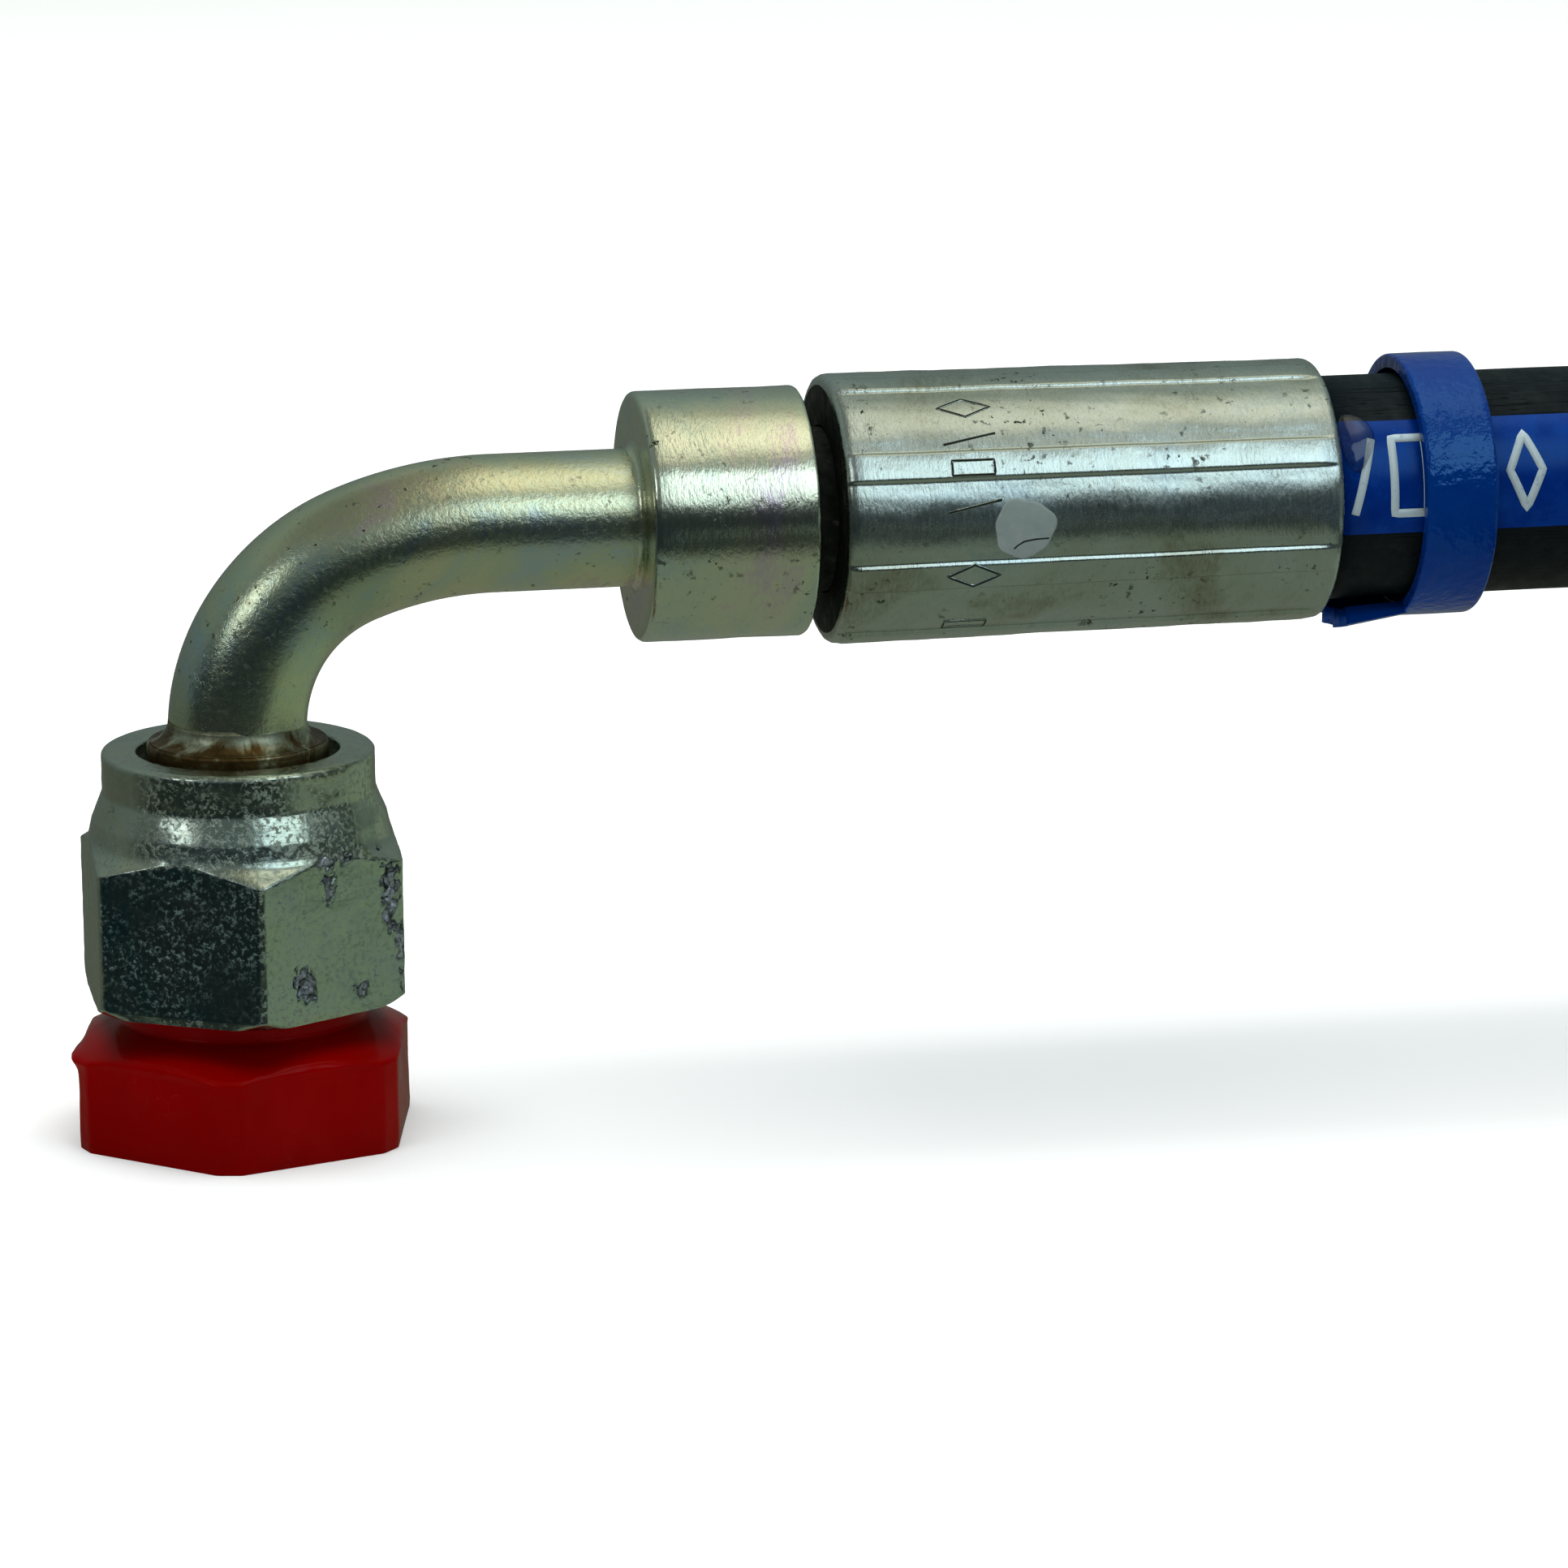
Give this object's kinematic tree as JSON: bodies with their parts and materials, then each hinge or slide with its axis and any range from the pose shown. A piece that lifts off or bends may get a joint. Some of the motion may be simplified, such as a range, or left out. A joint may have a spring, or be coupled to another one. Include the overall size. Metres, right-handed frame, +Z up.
{
  "type": "hydraulic hose assembly",
  "caption": "Crimped rubber hydraulic hose with a swept right-angle swivel elbow, plugged for shipping, and a straight swivel end, its spare length coiled and tied",
  "frame": {"origin": "centre of the shipping plug's flat foot, on the axis of the elbow's swivel nut", "axes": "+Z up along the elbow nut's axis, from the plug to the bend; +X along the hose as it leaves the elbow; +Y to the side away from the coil"},
  "size_m": [0.3067, 0.2054, 0.0539],
  "materials": {
    "yellow_zinc": "iridescent yellow-green passivated zinc plating, scratched, brown at the braze",
    "crimp_zinc": "dull grey-green zinc plating with turning marks, bright on the crimp lines",
    "hose_rubber": "matt black synthetic rubber with a faint wrap mark and a glossy blue stripe",
    "brass_braze": "brown tinted braze under the plating",
    "braid_wire": "bright brass-coated steel wire braid",
    "tether_plastic": "glossy soft blue plastic, torn at one end",
    "plug_plastic": "glossy deep red moulded plastic, lightly scuffed",
    "tie_nylon": "black nylon, satin"
  },
  "bodies": {
    "hose_assembly": {"elbow_tube": "yellow_zinc", "elbow_sleeve": "yellow_zinc", "sleeve_braze": "brass_braze", "collar_braze": "brass_braze", "elbow_stem": "yellow_zinc", "elbow_ferrule": "crimp_zinc", "elbow_liner": "hose_rubber", "elbow_braid": "braid_wire", "elbow_cover": "hose_rubber", "hose_lead": "hose_rubber", "hose_coil": "hose_rubber", "hose_tail": "hose_rubber", "coil_tie_a": "tie_nylon", "coil_tie_b": "tie_nylon", "far_liner": "hose_rubber", "far_braid": "braid_wire", "far_cover": "hose_rubber", "far_ferrule": "crimp_zinc", "far_stem": "yellow_zinc"},
    "elbow_nut": {"elbow_nut": "yellow_zinc"},
    "plug": {"shipping_plug": "plug_plastic"},
    "tether_ring": {"tether_ring": "tether_plastic"},
    "far_nut": {"far_nut": "yellow_zinc"}
  },
  "joints": [
    {"name": "elbow_nut_swivel", "type": "hinge", "parent": "hose_assembly", "child": "elbow_nut", "pos_m": [0, 0, 0.02], "axis": [0, 0, 1], "continuous": true},
    {"name": "plug_pull", "type": "slide", "parent": "elbow_nut", "child": "plug", "axis": [0, 0, -1], "range_m": [0, 0.012]},
    {"name": "tether_ring_turn", "type": "hinge", "parent": "hose_assembly", "child": "tether_ring", "pos_m": [0.0888, 0, 0.044], "axis": [1, 0, 0], "continuous": true},
    {"name": "far_nut_swivel", "type": "hinge", "parent": "hose_assembly", "child": "far_nut", "pos_m": [0.0791, -0.18, 0.011], "axis": [1, 0, 0], "continuous": true}
  ]
}
